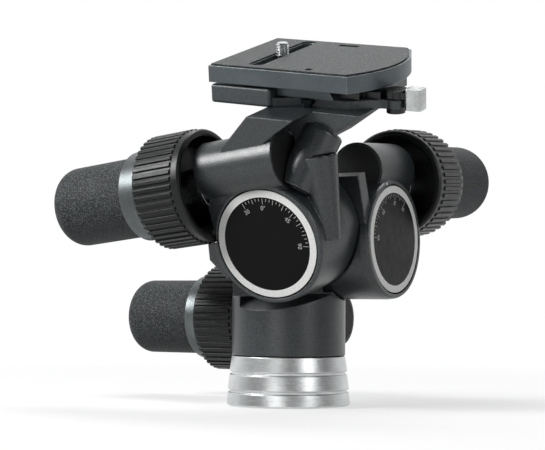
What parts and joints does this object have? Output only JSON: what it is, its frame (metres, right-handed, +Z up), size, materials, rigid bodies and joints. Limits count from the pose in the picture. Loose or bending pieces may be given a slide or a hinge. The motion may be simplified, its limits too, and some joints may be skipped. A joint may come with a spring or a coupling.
{
  "type": "three way geared pan tilt head",
  "caption": "Geared camera head: a round base, a turning column, worm driven front and side tilts with round dials, ribbed collars and rubber knobs, and a quick release plate.",
  "frame": {"origin": "middle of the base's underside, at the mouth of the tripod thread", "axes": "+Z up along the pan axis, +X toward the front tilt dial along the front tilt axis, -Y toward the side tilt dial when level"},
  "size_m": [0.1962, 0.1985, 0.1802],
  "materials": {
    "turned_base": "turned, satin",
    "brass_parts": "machined",
    "steel_parts": "machined",
    "black_casting": "satin black stove enamel",
    "worm_caps": "satin black",
    "dial_black": "matt black with fine white print",
    "dial_white": "white print",
    "collars": "satin black",
    "shoulders": "dark grey, brushed",
    "knob_cores": "moulded",
    "grips": "fine pebbled rubber",
    "plate_metal": "dark grey bead blasted",
    "plate_pad": "grained rubber",
    "lever_metal": "machined, bright",
    "level_fluid": "clear yellow green"
  },
  "bodies": {
    "base": {"base_ring": "turned_base", "thread_bush": "brass_parts", "pan_spindle": "steel_parts", "spindle_screws": "steel_parts", "pan_wheel": "brass_parts", "pan_washer": "steel_parts", "pan_nut": "steel_parts"},
    "pan_body": {"column": "black_casting", "tilt_bracket": "black_casting", "column_bearing": "brass_parts", "bearing_plate": "black_casting", "front_shaft": "steel_parts", "front_wheel": "brass_parts", "front_dial": "dial_black", "front_dial_ring": "dial_white", "pan_sleeve": "steel_parts", "pan_worm_cap": "worm_caps"},
    "pan_knob": {"pan_worm": "steel_parts", "pan_shoulder": "shoulders", "pan_knob_core": "knob_cores", "pan_grip": "grips"},
    "pan_release": {"pan_collar": "collars"},
    "front_body": {"tilt_housing": "black_casting", "front_bearing": "brass_parts", "index_dot": "dial_white", "side_shaft": "steel_parts", "side_nut": "steel_parts", "side_wheel": "brass_parts", "side_dial": "dial_black", "side_dial_ring": "dial_white", "front_sleeve": "steel_parts", "front_worm_cap": "worm_caps"},
    "front_knob": {"front_worm": "steel_parts", "front_shoulder": "shoulders", "front_knob_core": "knob_cores", "front_grip": "grips"},
    "front_release": {"front_collar": "collars"},
    "head_body": {"head_casting": "black_casting", "side_bearing": "brass_parts", "level_rim": "worm_caps", "level_vial": "level_fluid", "receiver": "black_casting", "receiver_screws": "steel_parts", "side_sleeve": "steel_parts", "side_worm_cap": "worm_caps", "plate": "plate_metal", "top_pad": "plate_pad"},
    "side_knob": {"side_worm": "steel_parts", "side_shoulder": "shoulders", "side_knob_core": "knob_cores", "side_grip": "grips"},
    "side_release": {"side_collar": "collars"},
    "jaw": {"clamp_jaw": "worm_caps"},
    "lock_lever": {"lever_post": "worm_caps", "lever_arm": "lever_metal", "lever_tip": "lever_metal"},
    "mounting_screw": {"camera_screw": "steel_parts"}
  },
  "joints": [
    {"name": "pan", "type": "hinge", "parent": "base", "child": "pan_body", "pos_m": [0, 0, 0], "axis": [0, 0, 1], "continuous": true},
    {"name": "pan_knob_spin", "type": "hinge", "parent": "pan_body", "child": "pan_knob", "pos_m": [0, 0.03, 0.0417], "axis": [-1, 0, 0], "continuous": true},
    {"name": "pan_release_turn", "type": "hinge", "parent": "pan_body", "child": "pan_release", "pos_m": [-0.04, 0.03, 0.0417], "axis": [-1, 0, 0], "range_deg": [0, 35]},
    {"name": "front_tilt", "type": "hinge", "parent": "pan_body", "child": "front_body", "pos_m": [0, 0.0097, 0.0802], "axis": [1, 0, 0], "range_deg": [-49.2, 4.8]},
    {"name": "front_knob_spin", "type": "hinge", "parent": "front_body", "child": "front_knob", "pos_m": [0.0385, 0.00772, 0.10713], "axis": [0, 0.9973, 0.0732], "continuous": true},
    {"name": "front_release_turn", "type": "hinge", "parent": "front_body", "child": "front_release", "pos_m": [0.0385, 0.04762, 0.11006], "axis": [0, 0.9973, 0.0732], "range_deg": [0, 35]},
    {"name": "side_tilt", "type": "hinge", "parent": "front_body", "child": "head_body", "pos_m": [0.0174, -0.00469, 0.09203], "axis": [0, -0.9444, -0.3289], "range_deg": [-81.5, 38.5]},
    {"name": "side_knob_spin", "type": "hinge", "parent": "head_body", "child": "side_knob", "pos_m": [0.014, -0.05232, 0.107], "axis": [-0.9936, 0.0372, -0.1069], "continuous": true},
    {"name": "side_release_turn", "type": "hinge", "parent": "head_body", "child": "side_release", "pos_m": [-0.02574, -0.05083, 0.10272], "axis": [-0.9936, 0.0372, -0.1069], "range_deg": [0, 35]},
    {"name": "jaw_slide", "type": "slide", "parent": "head_body", "child": "jaw", "axis": [0.989, 0.0486, -0.1396], "range_m": [0, 0.0008]},
    {"name": "lever_turn", "type": "hinge", "parent": "head_body", "child": "lock_lever", "pos_m": [0.07399, -0.03297, 0.14282], "axis": [0.1478, -0.3253, 0.934], "range_deg": [0, 75]},
    {"name": "screw_turn", "type": "hinge", "parent": "head_body", "child": "mounting_screw", "pos_m": [0.01316, -0.02984, 0.16424], "axis": [0.1478, -0.3253, 0.934], "continuous": true}
  ],
  "couplings": [
    {"joint": "pan_knob_spin", "follows": "pan", "ratio": 48},
    {"joint": "front_knob_spin", "follows": "front_tilt", "ratio": -42},
    {"joint": "side_knob_spin", "follows": "side_tilt", "ratio": 48},
    {"joint": "jaw_slide", "follows": "lever_turn", "m_per_rad": 0.0006}
  ]
}
